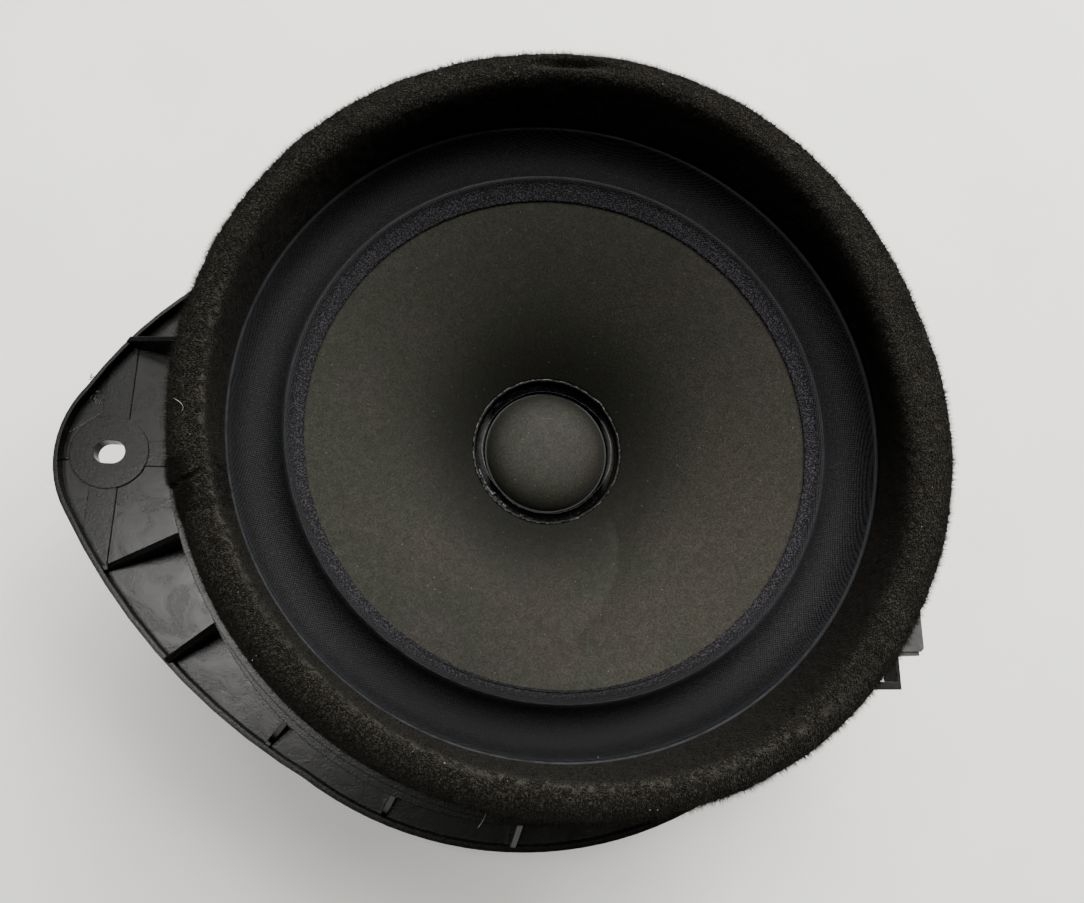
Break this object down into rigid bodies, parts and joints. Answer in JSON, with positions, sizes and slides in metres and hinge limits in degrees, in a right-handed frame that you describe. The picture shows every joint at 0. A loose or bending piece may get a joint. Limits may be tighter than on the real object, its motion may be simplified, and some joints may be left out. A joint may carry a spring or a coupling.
{
  "type": "door loudspeaker",
  "caption": "Round paper-cone car door loudspeaker with a foam front seal, a moulded basket, a screw ear, locating hooks and a side connector.",
  "frame": {"origin": "centre of the rear face of the motor's yoke, on the driver's axis", "axes": "+Z along the driver's axis towards the listener, -X towards the screw ear, +X towards the connector"},
  "size_m": [0.1959, 0.1752, 0.083],
  "materials": {
    "basket_plastic": "satin",
    "housing_plastic": "satin",
    "cone_paper": "matte",
    "surround_cloth": "matte",
    "foam": "matte",
    "spider_cloth": "matte",
    "glue": "gloss",
    "collar_plastic": "satin",
    "ferrite": "matte",
    "plated_steel": "satin",
    "former_foil": "satin",
    "copper_wire": "satin",
    "aluminium_ring": "satin",
    "tinned_blade": "satin",
    "braid": "satin"
  },
  "bodies": {
    "frame_and_motor": {"basket": "basket_plastic", "yoke": "plated_steel", "magnet": "ferrite", "top_plate": "plated_steel", "motor_screws": "plated_steel", "shorting_ring": "aluminium_ring", "spider": "spider_cloth", "surround": "surround_cloth", "foam_gasket": "foam", "connector_housing": "housing_plastic", "connector_blades": "tinned_blade", "lead_wire_positive": "braid", "lead_wire_negative": "braid"},
    "cone_and_coil": {"cone": "cone_paper", "dust_cap": "cone_paper", "neck_collar": "collar_plastic", "neck_glue_bead": "glue", "voice_coil_former": "former_foil", "voice_coil_winding": "copper_wire", "lead_glue_dots": "glue"}
  },
  "joints": [
    {"name": "cone_stroke", "type": "slide", "parent": "frame_and_motor", "child": "cone_and_coil", "axis": [0, 0, 1], "range_m": [-0.004, 0.004], "stiffness_N_per_m": 2000, "deforming": ["surround", "spider", "lead_wire_positive", "lead_wire_negative"]}
  ]
}
